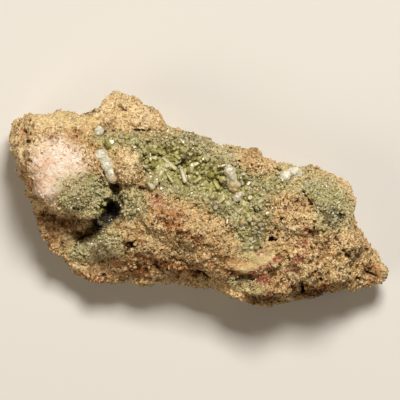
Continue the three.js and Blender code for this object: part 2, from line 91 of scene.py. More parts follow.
# The rock: one slab of altered, sugary rock, buff to ochre, stained pink and dark red, with a vug,
# ledges and pores. Its broken surface is lumpy from 4 mm down to the single grains, and it lies on
# its flat back. The crystal crusts grow out of it, so its surface runs on under them.
ROCK_VOXEL = 0.37 * MM
STRATA_TURN = math.radians(-20)  # the run of the ledges in the lower band
LOW_EDGE = (0.3 * MM, 2.5 * MM)  # the relief fades out here, so that the back stays flat
WORN_BACK = 0.1 * MM  # how much lower the broken surface lies than the solid's

# Places on the crystal face, in millimetres from the picture's middle: middle, half sizes, turn
SAGE_PATCHES = [
    ((-3.8, 8), (16, 8), -22), ((2, 14.5), (9, 3.6), -28), ((-20, 14.5), (7.5, 2.6), -6),
    ((-28, 1.2), (9, 6.2), -14), ((-17, -0.5), (4.6, 5), 0), ((-27, -11), (8.6, 3.6), 16),
    ((9, 1), (10, 7.5), -40), ((12, -7), (4, 7.6), 0), ((27, 4.4), (12, 4), -22),
    ((33.5, -3), (5.5, 6.4), -20), ((11, -21), (5.6, 2.2), -22), ((18.5, 4.4), (7.5, 2.6), -8),
]
BUFF_PATCHES = [
    ((-18, 8.5), (4, 5.6), 10), ((15.5, 10.5), (5.5, 4), -20), ((-14, 20), (9, 4), -30),
]
PINK_PATCHES = [
    ((-34.8, 9), (8.6, 7.6), -20), ((-37, 2.5), (5.4, 3.6), -30), ((-31.3, 7.2), (4.8, 3), -20),
]
SALMON_PATCHES = [
    ((-40.4, 4.4), (3.2, 2.8), 0), ((-38.4, 8.8), (3, 1.5), 10), ((-7, 16), (3, 1.6), 0),
]
RED_PATCHES = [
    ((-10.4, 0), (1.9, 2.9), 25), ((26, -7.6), (1.5, 1.4), 0), ((25.8, -11), (1.3, 1.7), 0),
    ((24.2, -14.4), (2.9, 1.5), 20), ((19, -14.6), (2, 1.1), 20), ((16, -16.6), (3, 0.9), 32),
    ((12.4, -20.2), (6.6, 1.9), 6), ((22.8, -17.6), (2.2, 1), 0), ((15, -12.8), (2.4, 0.9), 20),
    ((34, 4.4), (1.5, 1), 0), ((-21.6, 4.3), (0.9, 1.2), 0),
]
PITTED_PATCHES = [
    ((-43, 17.5), (3.6, 6), -20), ((33, -13), (15, 9), -30), ((27, 1), (10, 6), -20),
    ((-13, -15.5), (18, 6.5), -4), ((-8, -6), (8, 5), -20), ((-38, -8), (7, 6), -30),
    ((16, -19), (8, 5), 0),
]
# The larger holes, cracks and undercuts, in the same way, sunk in and painted dark as their shade
DARK_HOLES = [
    ((-28.3, -8.9), (2.4, 0.5), 16), ((-17.7, -10.8), (2, 0.6), 2), ((-24.1, -18.8), (0.7, 0.6), 0),
    ((-10.5, -16.4), (1.6, 0.5), -20), ((-5, -17.8), (1.2, 0.4), 10), ((12.2, -8.9), (1.2, 0.5), 6),
    ((14.6, -8.9), (0.9, 0.5), -28), ((17.8, -9.8), (1.1, 0.6), -7), ((22, -14.6), (1.2, 0.5), -80),
    ((25.3, -21.2), (1.8, 0.6), -72), ((19.5, 7.7), (0.9, 0.5), -41), ((20, -5.1), (0.9, 0.5), 73),
    ((16.6, -2), (0.9, 0.6), 27), ((31.4, -3.9), (0.9, 0.5), 0), ((36.9, -13.9), (0.7, 0.6), 45),
    ((29.9, -19.8), (0.8, 0.5), -65), ((39.3, -19.3), (0.7, 0.5), 0), ((42.8, -18.4), (2.4, 0.4), -28),
    ((42.2, -17), (1.8, 0.35), -30), ((-42.6, 14.6), (0.9, 0.7), 40), ((-43.4, 17), (0.8, 0.6), -50),
    ((-14.5, 3), (1.4, 0.5), -13), ((6.9, 2.4), (1.1, 0.6), -66), ((-42.3, 9.6), (0.7, 0.5), 0),
    ((-18.6, 22), (0.5, 0.4), 0),
]
# Painted shade under the ledges and along the lower edge, nearly black
DEEP_SHADE_PATCHES = [
    ((-37.6, -4.6), (3.6, 1.5), -14), ((-32.6, -5.6), (5, 1.7), 6), ((-20.6, 3.2), (1.6, 2.6), 20),
    ((-28, -8), (4, 1), 14), ((-14, 2.6), (2.4, 0.8), -13), ((14.5, -24.8), (4.6, 1.4), 0),
    ((28, -23.4), (7.6, 1.2), 0), ((-41, 0.6), (1.6, 0.7), -30), ((17.4, -24), (3, 2), 0),
]
VUG_MOUTH = [((-23.7, -4.9), (6.2, 2.4), 42), ((-21.6, -2.8), (2.8, 3), 0), ((-21, 0.8), (1.2, 1.6), 20)]
VUG_DEPTH = (24 * MM, 18.5 * MM)  # the painted shadow deepens between these heights
# Where the upper edge is chipped
NOTCHES = [((-28, 23), (4, 2.6), 0), ((-39, 22.6), (5, 1.6), 5), ((-7.2, 19.6), (2.6, 2), -40)]
# Paler rock with fewer dark specks. On the left rim and the down-facing lower band and walls the paling
# is painted light
LIGHT_PATCHES = [
    ((-18.6, 21.4), (9, 6), -35), ((-17.6, 9), (4, 5), 10), ((-44.6, 13), (3.4, 8), -10),
    ((36.6, 0), (3.2, 6.5), 0), ((-24, -15.8), (7.4, 3), -10), ((-36, -8), (5, 2.6), -20),
    ((-36, 19.6), (9, 2.6), 0), ((-9, -19.4), (8, 2), -8),
]
RUST_PATCHES = [
    ((-38, -10), (8, 5), -35), ((-25, -19), (6, 2), -16), ((15, -20), (6, 2), -10),
    ((-31.6, 16), (3.4, 2.8), 20), ((-36, 15.2), (3, 1), -10), ((-21.4, 4), (1, 1.4), 0),
    ((-8.5, -4.6), (5.6, 2.6), -15),
]
BROWN_PATCHES = [
    ((-37, -5.6), (7, 2.4), -16), ((-13, -16.6), (18, 4), -4), ((-7, -5.4), (7, 4.4), -20),
    ((43, -18.6), (3, 3), 0), ((7, -17.6), (9, 4), -14), ((29, -22), (9, 2.4), 2),
    ((14, -23.6), (5, 2), 0), ((-25, -20), (7, 1.6), -12), ((-1, -9), (5, 2.4), -20),
    ((-43.4, 8.4), (1.5, 3.2), 0), ((-44, 16.4), (1.4, 2), 0),
]
YELLOW_PATCHES = [((13.6, -14.8), (6.4, 4.2), 14), ((-33, 20.2), (10, 2), -4)]
GREY_PATCHES = [((33, -4), (4.4, 3), -20), ((0, 15.6), (5, 2), -20)]

# The relief: the sizes of its forms, and how far they rise or sink in full, in millimetres
EASE_ROUNDS = 60  # of smoothing, which flattens the pink plane
LUMP_SIZE = 4.2
LUMP_HEIGHT = 2.1
SMOOTH_LUMP_LOSS = 1.5  # how much lower, where the rock is smooth
LEDGE_SIZE = 1.7
LEDGE_HEIGHT = 1.2
BROWN_LEDGE_GAIN = 1.8  # how much higher, where the rock is brown and layered
SMOOTH_LEDGE_LOSS = 0.9
BLOCK_SIZE = 2.3
BLOCK_HEIGHT = 1.4
CRUMB_SIZE = 1.05
CRUMB_HEIGHT = 0.42
PITTED_CRUMB_GAIN = 0.2  # how much higher, where the rock is pitted
PORE_SPACING = 1.9
PORE_RADIUS = 0.55
PORE_DEPTH = 0.8
HOLE_DEPTH = 1.3
NOTCH_DEPTH = 1.5
HOLLOW_REACH = 8  # rounds of averaging, against which small hollows show
RECESS_REACH = 70  # and large ones


def merged_copy(name, node):
    """A CAD node's mesh, its corners merged, as a new object, which alone is selected."""
    bpy.ops.object.select_all(action="DESELECT")
    piece = bpy.data.objects.new(name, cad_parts[node].data.copy())
    bpy.context.collection.objects.link(piece)
    piece.select_set(True)
    bpy.context.view_layer.objects.active = piece
    piece.data.materials.clear()
    bpy.ops.object.mode_set(mode="EDIT")
    bpy.ops.mesh.select_all(action="SELECT")
    bpy.ops.mesh.remove_doubles(threshold=0.001 * MM)
    bpy.ops.object.mode_set(mode="OBJECT")
    return piece


def modified(piece, kind, **settings):
    """Adds a modifier to a piece, sets it and applies it."""
    modifier = piece.modifiers.new(kind.lower(), kind)
    for setting, value in settings.items():
        setattr(modifier, setting, value)
    bpy.context.view_layer.objects.active = piece
    bpy.ops.object.modifier_apply(modifier=modifier.name)


class Wire:
    """A node socket. Arithmetic on it adds Math nodes, and its node method adds any other."""

    def __init__(self, tree, socket=None):
        self.tree = tree
        self.socket = socket

    def node(self, kind, settings=None, sockets=None, out=None):
        made = self.tree.nodes.new(kind)
        for name, value in (settings or {}).items():
            setattr(made, name, value)
        for name, value in (sockets or {}).items():
            if isinstance(name, int):
                socket = made.inputs[name]
            else:
                socket = next(s for s in made.inputs if s.enabled and s.name == name)
            if isinstance(value, (Wire, list)):
                for wire in value if isinstance(value, list) else [value]:
                    self.tree.links.new(wire.socket, socket)
            else:
                socket.default_value = value
        outputs = [s for s in made.outputs if s.enabled and out in (None, s.name)]
        return Wire(self.tree, outputs[0] if outputs else None)

    def output(self, name):
        """Another output of the node that this socket belongs to."""
        return Wire(self.tree, self.socket.node.outputs[name])

    def math(self, operation, *values):
        return self.node("ShaderNodeMath", {"operation": operation}, dict(enumerate(values)))

    def __add__(self, other):
        return self.math("ADD", self, other)

    __radd__ = __add__

    def __sub__(self, other):
        return self.math("SUBTRACT", self, other)

    def __rsub__(self, other):
        return self.math("SUBTRACT", other, self)

    def __mul__(self, other):
        return self.math("MULTIPLY", self, other)

    __rmul__ = __mul__

    def vector(self, operation, *values):
        return self.node("ShaderNodeVectorMath", {"operation": operation}, dict(enumerate(values)))

    def scaled(self, factor):
        sockets = {0: self, "Scale": factor}
        return self.node("ShaderNodeVectorMath", {"operation": "SCALE"}, sockets)

    def between(self, low, high):
        """0 at low, 1 at high, with soft ends."""
        return self.node(
            "ShaderNodeMapRange",
            {"interpolation_type": "SMOOTHSTEP"},
            {"Value": self, "From Min": low, "From Max": high},
        )

    def clipped(self):
        return self.node("ShaderNodeClamp", {}, {"Value": self})

    def mixed(self, other, factor):
        """This colour turning into another by a factor."""
        sockets = {"Factor": factor, "A": self, "B": other}
        return self.node("ShaderNodeMix", {"data_type": "RGBA"}, sockets)


def grain(place, size, detail=2.0, roughness=0.55):
    """Cloudy noise with lumps of a size, from 0 to 1 round a mean of a half."""
    sockets = {"Vector": place, "Scale": 1 / size, "Detail": detail, "Roughness": roughness}
    return place.node("ShaderNodeTexNoise", {}, sockets)


def cells(place, size):
    """Cells of a size: 0 at a cell's middle, and near 1 between cells."""
    return place.node("ShaderNodeTexVoronoi", {}, {"Vector": place, "Scale": 1 / size})


def lot(found):
    """A random number for each cell, gathered round a half."""
    return found.output("Color").vector("DOT_PRODUCT", found.output("Color"), (0.33, 0.33, 0.34))


def pinholes(place, spacing, radius, fewest):
    """Round holes of a radius in millimetres, in the cells whose lot is above a number."""
    found = cells(warped(place, 2 * radius * MM, 0.4 * radius * MM), spacing * MM)
    hole = found.between(1.3 * radius / spacing, 0.7 * radius / spacing)
    return hole * lot(found).between(fewest, fewest + 0.14)


def patches(place, ovals, soft=0.55):
    """1 inside any of the soft ovals on the crystal face."""
    whole = None
    for (x, y), (length, width), turn in ovals:
        middle = FACE_MIDDLE + Vector((x, y, 0)) * MM
        away = place.vector("SUBTRACT", place, middle)
        turned = place.node(
            "ShaderNodeVectorRotate",
            {"rotation_type": "Z_AXIS"},
            {"Vector": away, "Angle": -math.radians(turn)},
        )
        share = place.vector("MULTIPLY", turned, (1 / (length * MM), 1 / (width * MM), 0))
        oval = place.vector("LENGTH", share).between(1.15, 1.15 - soft)
        whole = oval if whole is None else place.math("MAXIMUM", whole, oval)
    return whole


def vug_shade(wire, place):
    """How far inside the vug a place is, where its walls are painted nearly black as its shadow."""
    height = wire.node("ShaderNodeSeparateXYZ", {}, {"Vector": place}, "Z")
    return patches(place, VUG_MOUTH, 0.6) * height.between(*VUG_DEPTH)


def grown_by_nodes(piece, build):
    """Runs a piece through geometry nodes, which build makes from its geometry, and applies them."""
    tree = bpy.data.node_groups.new(piece.name, "GeometryNodeTree")
    tree.interface.new_socket("Geometry", in_out="INPUT", socket_type="NodeSocketGeometry")
    tree.interface.new_socket("Geometry", in_out="OUTPUT", socket_type="NodeSocketGeometry")
    given = Wire(tree).node("NodeGroupInput")
    given.node("NodeGroupOutput", {}, {"Geometry": build(given)})
    modified(piece, "NODES", node_group=tree)


def stored(geometry, name, value, domain="POINT"):
    """Geometry with a value kept on it under a name, for the materials."""
    return geometry.node(
        "GeometryNodeStoreNamedAttribute",
        {"data_type": "FLOAT", "domain": domain},
        {"Geometry": geometry, "Name": name, "Value": value},
    )


def moved(geometry, offset):
    return geometry.node("GeometryNodeSetPosition", {}, {"Geometry": geometry, "Offset": offset})


def warped(place, size, reach):
    """A place shifted by noise, which frays the edges of what is laid out by it."""
    sockets = {"Vector": place, "Scale": 1 / size, "Detail": 2.0}
    noise = place.node("ShaderNodeTexNoise", {}, sockets, "Color")
    centred = place.vector("SUBTRACT", noise, (0.5, 0.5, 0.5))
    return place.vector("ADD", place, centred.scaled(2 * reach))


def blurred(place, rounds, weight):
    """Places averaged with their neighbours' over and over, where the weight is 1."""
    sockets = {"Value": place, "Iterations": rounds, "Weight": weight}
    return place.node("GeometryNodeBlurAttribute", {"data_type": "FLOAT_VECTOR"}, sockets)


def weathered(given):
    """The rock's broken surface, and what its material needs to know of each place."""
    place = given.node("GeometryNodeInputPosition")
    normal = given.node("GeometryNodeInputNormal")
    eased = blurred(place, EASE_ROUNDS, patches(place, PINK_PATCHES, 0.5))
    bare = given.node("GeometryNodeSetPosition", {}, {"Geometry": given, "Position": eased})
    frayed = warped(place, 3 * MM, 1.6 * MM)
    depth = given.node("ShaderNodeSeparateXYZ", {}, {"Vector": place}, "Z")
    on_face = depth.between(7 * MM, 14 * MM)
    level = given.node("ShaderNodeSeparateXYZ", {}, {"Vector": normal}, "Z").between(0.25, 0.7)
    sage = patches(frayed, SAGE_PATCHES) * (1 - patches(frayed, BUFF_PATCHES)) * on_face
    smooth = patches(place, PINK_PATCHES)
    smooth = given.math("MAXIMUM", smooth, patches(place, YELLOW_PATCHES[:1]) * 0.7)
    turned = given.node(
        "ShaderNodeVectorRotate",
        {"rotation_type": "Z_AXIS"},
        {"Vector": place, "Angle": -STRATA_TURN},
    )
    layered = given.vector("MULTIPLY", turned, (0.25, 1, 0.8))
    brown = patches(frayed, BROWN_PATCHES, 0.8)
    lumps = grain(place, LUMP_SIZE * MM, 3.0) - 0.5
    ledges = grain(layered, LEDGE_SIZE * MM, 3.0) - 0.5
    crumbs = cells(warped(place, 0.8 * MM, 0.3 * MM), CRUMB_SIZE * MM)
    crumb = lot(crumbs) - 0.6 * crumbs.between(0.4, 0.8)
    blocks = lot(cells(warped(place, 1.8 * MM, 0.7 * MM), BLOCK_SIZE * MM)) - 0.5
    pitted = patches(frayed, PITTED_PATCHES, 0.9)
    pores = pinholes(place, PORE_SPACING, PORE_RADIUS, 0.4) * (0.35 + 0.65 * pitted)
    holes = patches(warped(place, 0.8 * MM, 0.3 * MM), DARK_HOLES, 0.7)
    rough = 1 - 0.85 * smooth
    height = lumps * (LUMP_HEIGHT - SMOOTH_LUMP_LOSS * smooth) * MM
    ledge_height = LEDGE_HEIGHT + BROWN_LEDGE_GAIN * brown - SMOOTH_LEDGE_LOSS * smooth
    height = height + ledges * ledge_height * MM
    height = height + blocks * (BLOCK_HEIGHT * MM) * rough
    crumbling = crumb * (CRUMB_HEIGHT + PITTED_CRUMB_GAIN * pitted) * MM
    height = height + (crumbling - pores * (PORE_DEPTH * MM)) * rough
    height = height - holes * (HOLE_DEPTH * MM) - patches(place, NOTCHES, 0.9) * (NOTCH_DEPTH * MM)
    height = (height - WORN_BACK) * depth.between(*LOW_EDGE)
    broken = moved(bare, normal.scaled(height))
    raised = given.node("GeometryNodeInputPosition")
    # How far each place lies below its small and its large surroundings, for the material's painted
    # shade
    for name, reach in (("hollow", HOLLOW_REACH), ("recess", RECESS_REACH)):
        around = blurred(raised, reach, 1.0)
        sunk = given.vector("DOT_PRODUCT", given.vector("SUBTRACT", around, raised), normal)
        broken = stored(broken, name, sunk * (1 / MM))
    # The gap marks pores, holes and cracks, which the material paints dark as their shade
    for name, value in (
        ("gap", given.math("MAXIMUM", pores * rough, holes)),
        ("pitted", pitted),
        ("strata", ledges + 0.5),
        ("sage", sage),
        ("pink", patches(frayed, PINK_PATCHES, 0.75) * on_face),
        ("salmon", patches(frayed, SALMON_PATCHES) * on_face),
        ("red", patches(frayed, RED_PATCHES) * on_face),
        ("rust", patches(frayed, RUST_PATCHES, 0.8)),
        ("umber", patches(warped(place, 1.6 * MM, 0.9 * MM), DEEP_SHADE_PATCHES, 0.7)),
        ("brown", brown),
        ("yellow", patches(frayed, YELLOW_PATCHES) * level),
        ("grey", patches(frayed, GREY_PATCHES)),
        ("light", patches(frayed, LIGHT_PATCHES)),
    ):
        broken = stored(broken, name, value)
    return broken


rock = merged_copy("rock", "matrix")
modified(rock, "REMESH", mode="VOXEL", voxel_size=ROCK_VOXEL)
modified(rock, "SMOOTH", factor=0.5, iterations=1)
for face in rock.data.polygons:
    face.select = face.normal.z < -0.99 and face.center.z < 0.2 * MM
bpy.ops.object.mode_set(mode="EDIT")
bpy.ops.mesh.select_mode(type="FACE")
bpy.ops.mesh.dissolve_faces()
bpy.ops.object.mode_set(mode="OBJECT")
grown_by_nodes(rock, weathered)
bpy.ops.object.shade_smooth()


def new_material(name, **constants):
    """A material with its shader's constant values set; gives it, a wire in it and the shader."""
    material = bpy.data.materials.new(name)
    material.use_nodes = True
    shader = material.node_tree.nodes["Principled BSDF"]
    for socket, value in constants.items():
        shader.inputs[socket.replace("_", " ")].default_value = value
    return material, Wire(material.node_tree), shader


def attribute(wire, name):
    return wire.node("ShaderNodeAttribute", {"attribute_name": name}, {}, "Fac")


def bumped(wire, height, strength, distance):
    sockets = {"Height": height, "Strength": strength, "Distance": distance}
    return wire.node("ShaderNodeBump", {}, sockets)


def feed(wire, shader, **links):
    """Links wires to a shader's varying sockets."""
    for socket, value in links.items():
        wire.tree.links.new(value.socket, shader.inputs[socket.replace("_", " ")])


# The sizes of the rock's clouds and specks of colour and of its spots of painted pit shade, in
# millimetres
CLOUDS = {
    "fine": 0.4, "specks": 0.5, "spots": 0.62, "freckles": 0.8, "middling": 1.2, "chalk": 1.7,
    "rust": 2.9, "sound": 3, "moss": 3.9, "broad": 7,
}
PINHOLE_SPACING = 1.5
PINHOLE_RADIUS = 0.42
# How much of its place each stain covers, from the lowest to the uppermost
STAINS = {"yellow": 0.7, "brown": 0.85, "pink": 0.85, "salmon": 0.65, "rust": 0.75, "red": 0.9}
VUG_SHADOW = (0.02, 0.013, 0.006, 1)
ROCK_COLOURS = {
    "buff": (0.67, 0.47, 0.225, 1), "pale": (0.88, 0.7, 0.42, 1), "ochre": (0.4, 0.23, 0.08, 1),
    "rust": (0.46, 0.22, 0.085, 1), "rose": (0.5, 0.24, 0.13, 1), "speck_shade": (0.14, 0.068, 0.018, 1),
    "pink": (0.98, 0.76, 0.61, 1), "salmon": (0.84, 0.42, 0.25, 1), "red": (0.36, 0.085, 0.07, 1),
    "brown": (0.46, 0.2, 0.075, 1), "yellow": (0.76, 0.6, 0.3, 1), "grey": (0.2, 0.16, 0.085, 1),
    "sage": (0.56, 0.49, 0.24, 1), "pit": (0.08, 0.03, 0.006, 1), "recess_shade": (0.27, 0.11, 0.025, 1),
    "umber": (0.12, 0.048, 0.016, 1), "white": (0.92, 0.84, 0.64, 1), "chalk": (1.0, 0.93, 0.82, 1),
    "moss": (0.58, 0.5, 0.27, 1),
}


def rock_material():
    material, wire, shader = new_material("buff_rock", Roughness=0.95, Specular_IOR_Level=0.06)
    place = wire.node("ShaderNodeTexCoord", {}, {}, "Object")
    colours = ROCK_COLOURS
    fine = grain(place, CLOUDS["fine"] * MM, 3.0)
    broad = grain(place, CLOUDS["broad"] * MM, 2.0)
    middling = grain(place, CLOUDS["middling"] * MM, 3.0)
    shade = 0.6 * middling + 0.4 * broad + 1.3 * (fine - 0.5) - 0.02
    # Paler patches; on the left rim and the down-facing lower band and walls this paling is painted
    # light
    light = attribute(wire, "light")
    shade = shade + 0.12 * light
    colour = wire.node("ShaderNodeMix", {"data_type": "RGBA"}, {
        "Factor": shade.between(0.34, 0.48), "A": colours["ochre"], "B": colours["buff"],
    })
    colour = colour.mixed(colours["pale"], shade.between(0.52, 0.66))
    pitted = attribute(wire, "pitted")
    freckles = grain(place, CLOUDS["freckles"] * MM, 2.0).between(0.48, 0.6)
    mossy = grain(place, CLOUDS["moss"] * MM, 3.0).between(0.52, 0.66)
    plain = 1 - 0.7 * attribute(wire, "brown")
    colour = colour.mixed(colours["moss"], mossy * (1.1 - shade) * 0.7 * plain)
    rusty = grain(place, CLOUDS["rust"] * MM, 4.0).between(0.5, 0.64) * (0.5 + 0.5 * pitted)
    colour = colour.mixed(colours["rose"], rusty * (0.2 + 0.8 * freckles) * 0.85)
    for name, strength in STAINS.items():
        spotty = 0.5 + shade if name in ("yellow", "pink") else 0.25 + freckles
        if name == "brown":
            spotty = 0.22 + attribute(wire, "strata").between(0.56, 0.44) * (1.5 - shade)
        colour = colour.mixed(colours[name], (attribute(wire, name) * strength * spotty).clipped())
    chalky = grain(place, CLOUDS["chalk"] * MM, 3.0).between(0.5, 0.62) * attribute(wire, "pink")
    colour = colour.mixed(colours["chalk"], chalky * 0.7)
    sage = attribute(wire, "sage") * (0.35 + 0.65 * shade.between(0.6, 0.42))
    colour = colour.mixed(colours["sage"], sage)
    colour = colour.mixed(colours["grey"], attribute(wire, "grey") * shade.between(0.55, 0.42))
    specks = cells(place, CLOUDS["specks"] * MM)
    flecks = lot(specks).between(0.6, 0.68) * attribute(wire, "brown")
    colour = colour.mixed(colours["pale"], flecks * 0.55)
    colour = colour.mixed(colours["white"], lot(specks).between(0.74, 0.8) * 0.65 * plain)
    # Painted shade under the ledges and along the lower edge
    colour = colour.mixed(colours["umber"], attribute(wire, "umber") * (0.5 + 0.5 * freckles))
    # Painted shade: the hollows and recesses turn a warm dark brown
    sunk = attribute(wire, "hollow").between(0.06, 0.45) * 0.6
    sunk = wire.math("MAXIMUM", sunk, attribute(wire, "recess").between(0.5, 2.2) * 0.5)
    colour = colour.mixed(colours["recess_shade"], sunk)
    # Painted shade: the deeper hollows, pores, holes and cracks turn nearly black
    dark = attribute(wire, "hollow").between(0.25, 0.7) * 0.6
    dark = wire.math("MAXIMUM", dark, attribute(wire, "gap").between(0.2, 0.9) * 0.9)
    sound = grain(place, CLOUDS["sound"] * MM, 2.0).between(0.6, 0.42) * (1 - 0.5 * pitted) * plain
    for smooth in (attribute(wire, "yellow"), light * 0.6, attribute(wire, "pink")):
        sound = wire.math("MAXIMUM", sound, smooth)
    # Painted shade: dark spots stand for the shade in tiny pits, which the bump sinks too; fewer where
    # the rock is sound
    spots = grain(place, CLOUDS["spots"] * MM, 2.0, 0.6).between(0.45, 0.36) * (1 - 0.75 * sound)
    colour = colour.mixed(colours["speck_shade"], spots * 0.9)
    # Painted shade in pinholes too small for the mesh
    holes = pinholes(place, PINHOLE_SPACING, PINHOLE_RADIUS, 0.38) * (1 - 0.9 * sound)
    colour = colour.mixed(colours["pit"], wire.math("MAXIMUM", dark, holes * 0.85))
    # Painted shadow inside the vug
    colour = colour.mixed(VUG_SHADOW, vug_shade(wire, place))
    height = 0.6 * fine + 0.4 * lot(specks) - 0.8 * spots - 1.5 * holes
    feed(wire, shader, Base_Color=colour, Normal=bumped(wire, height, 0.9, 0.3 * MM))
    return material


rock.data.materials.append(rock_material())
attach(rock, "root")
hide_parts("matrix")

# The druse: crusts of small apatite crystals, stubby six-sided prisms from half a millimetre to two
# long, grown on the walls of the rock's hollows. Glassy and see-through, sage to yellow-green, they
# stand so close that their bed hardly shows.
CRUST_VOXEL = 0.4 * MM
CRUST_SWELL = 0.35 * MM  # closes the gap to the rock
CRUST_SINK = 0.75 * MM  # brings the bed down to the level of the rock round it
CRYSTAL_ROOT = 0.35 * MM  # how far a crystal reaches below the place it stands on
HABITS = [  # radius, height, width of the tip's flat end and height of the tip
    (0.5, 0.4, 0.32, 0.14), (0.4, 0.75, 0.2, 0.26), (0.46, 0.55, 0.36, 0.1), (0.3, 0.8, 0.06, 0.3),
]
# Crystals of each crust: spacing, smallest and largest size against the habits, seed
CRUSTS = {
    "apatite_crust_centre": (0.6, (0.6, 1.5), 3),
    "apatite_crust_left": (0.42, (0.32, 0.95), 5),
    "apatite_crust_lower": (0.46, (0.35, 0.95), 7),
    "apatite_crust_right": (0.5, (0.4, 1.1), 9),
}
CRYSTAL_LEAN = math.radians(48)
FACET_STEP = 0.618  # spreads the facets' painted light and shade evenly
END_FACET = 0.55  # the painted brightness of a crystal's flat end, neither lit nor shaded
DEEP_GREEN = (0.43, 0.4, 0.1, 1)
YELLOW_GREEN = (0.74, 0.69, 0.25, 1)
STRAW = (0.95, 0.9, 0.52, 1)
CLOUDY_GREY = (0.58, 0.54, 0.34, 1)
SAGE = (0.52, 0.48, 0.18, 1)
PALE_SAGE = (0.74, 0.68, 0.36, 1)
TAN = (0.68, 0.5, 0.24, 1)
SMOKY = (0.31, 0.26, 0.12, 1)
# Painted shade on the crystals' roots and on their darker facets
SHADE_GREEN = (0.16, 0.12, 0.025, 1)
# Painted light on the brighter facets, strongest at the tips
LIT_FACET_STRAW = (0.95, 0.88, 0.6, 1)
RICH_PATCHES = [
    ((-5, 8.8), (11, 4.6), -15), ((3, 4.4), (6, 3.8), -40), ((11.5, -2.4), (1.7, 3.8), 10),
    ((-22.6, 13.2), (1.4, 1.6), 0), ((-24, -2), (2, 1.6), 40),
]
CREAM = (0.8, 0.66, 0.4, 1)
CREAM_PATCHES = [
    ((-32, 4.4), (6.4, 3.4), -25), ((-25, -12), (7, 3), 16), ((27, 6.5), (7, 2.6), -20),
    ((3, 13.6), (6, 2), -28), ((-28.6, -0.8), (4.4, 1.8), -10),
]
SMOKY_PATCHES = [
    ((-3, 10.6), (2, 0.8), 10), ((6.8, 3.4), (1.6, 1.8), 0), ((-17, -1), (4.6, 4.6), 0),
    ((-12, 3.5), (4, 1.2), -10), ((14, -9), (2.2, 2), 0), ((33, -4.4), (4.4, 3), 0),
    ((-1, 16), (6, 1.6), -24), ((4, -1.4), (4.4, 1.4), -35),
]


def crystal_kind(radius, height, flat, tip):
    """One crystal, standing on the origin with its root below it."""
    bpy.ops.object.select_all(action="DESELECT")
    depth = height * MM + CRYSTAL_ROOT
    bpy.ops.mesh.primitive_cylinder_add(
        vertices=6, radius=radius * MM, depth=depth, location=(0, 0, depth / 2 - CRYSTAL_ROOT)
    )
    kind = bpy.context.object
    bpy.ops.object.transform_apply(location=True, rotation=False, scale=False)
    bpy.ops.object.mode_set(mode="EDIT")
    bpy.ops.mesh.select_all(action="DESELECT")
    bpy.ops.object.mode_set(mode="OBJECT")
    for face in kind.data.polygons:
        face.select = face.normal.z > 0.9
    bpy.ops.object.mode_set(mode="EDIT")
    bpy.ops.mesh.extrude_region_move(TRANSFORM_OT_translate={"value": (0, 0, tip * MM)})
    bpy.ops.transform.resize(value=(flat / radius, flat / radius, 1))
    bpy.ops.object.mode_set(mode="OBJECT")
    # How far up the crystal each corner is, for the painted shade at its root and light at its tip
    along = kind.data.attributes.new("along", "FLOAT", "POINT")
    for corner, value in zip(kind.data.vertices, along.data):
        value.value = max(0, corner.co.z / ((height + tip) * MM))
    # Each face's painted light or shade
    facets = kind.data.attributes.new("facet", "FLOAT", "FACE")
    for face, value in zip(kind.data.polygons, facets.data):
        value.value = END_FACET if face.normal.z > 0.9 else face.index * FACET_STEP % 1
    return kind


def chance(wire, low, high, seed):
    """A random number for each element."""
    sockets = {"Min": low, "Max": high, "Seed": seed}
    return wire.node("FunctionNodeRandomValue", {"data_type": "FLOAT"}, sockets)


def scattered(faces, kinds, spacing, density, sizes, lean, seed, growth=1.0):
    """Copies of the kinds on the faces, which keep the faces' named values and get their own tint."""
    spots = faces.node(
        "GeometryNodeDistributePointsOnFaces",
        {"distribute_method": "POISSON"},
        {"Mesh": faces, "Distance Min": spacing * MM, "Density Max": 3 / (spacing * MM) ** 2,
         "Density Factor": density, "Seed": seed},
    )
    leaning = faces.node(
        "FunctionNodeRandomValue",
        {"data_type": "FLOAT_VECTOR"},
        {"Min": (-lean, -lean, 0), "Max": (lean, lean, math.tau), "Seed": seed + 1},
    )
    turn = faces.node("FunctionNodeEulerToRotation", {}, {"Euler": leaning})
    upright = spots.output("Rotation")
    rotation = faces.node(
        "FunctionNodeRotateRotation",
        {"rotation_space": "LOCAL"},
        {"Rotation": upright, "Rotate By": turn},
    )
    few_large = chance(faces, 0.0, 1.0, seed + 2)
    size = sizes[0] + few_large * few_large.math("SQRT", few_large) * (sizes[1] - sizes[0])
    size = size * growth
    shapes = []
    for kind in kinds:
        sockets = {"Object": kind, "As Instance": True}
        shapes.append(faces.node("GeometryNodeObjectInfo", {}, sockets, "Geometry"))
    placed = faces.node(
        "GeometryNodeInstanceOnPoints",
        {},
        {"Points": spots, "Instance": faces.node("GeometryNodeJoinGeometry", {}, {0: shapes}),
         "Pick Instance": True, "Rotation": rotation, "Scale": size},
    )
    tinted = stored(placed, "tint", chance(faces, 0.0, 1.0, seed + 3), "INSTANCE")
    return faces.node("GeometryNodeRealizeInstances", {}, {"Geometry": tinted})


def value_of(given, name):
    """A named value of the geometry."""
    return given.node("GeometryNodeInputNamedAttribute", {"data_type": "FLOAT"}, {"Name": name})


def crusted(spacing, sizes, seed):
    """The geometry nodes that grow a crust's crystals on its bed."""
    def build(given):
        bed = weathered(given)
        normal = given.node("GeometryNodeInputNormal")
        up = given.node("ShaderNodeSeparateXYZ", {}, {"Vector": normal}, "Z")
        place = given.node("GeometryNodeInputPosition")
        rich = patches(place, RICH_PATCHES)
        thriving = value_of(given, "sage").between(0.0, 0.7) * (1 - 0.6 * value_of(given, "pink"))
        grown = scattered(
            bed, crystal_kinds, spacing, up.between(-0.1, 0.2) * (1 - 0.35 * rich), sizes,
            CRYSTAL_LEAN, seed, (0.5 + 0.5 * thriving) * (1 + 0.35 * rich),
        )
        for name, value, domain in (
            ("tint", 0.4, "POINT"), ("along", 0.4, "POINT"), ("facet", 0.5, "FACE"),
        ):
            bed = stored(bed, name, value, domain)
        return given.node("GeometryNodeJoinGeometry", {}, {0: [bed, grown]})
    return build


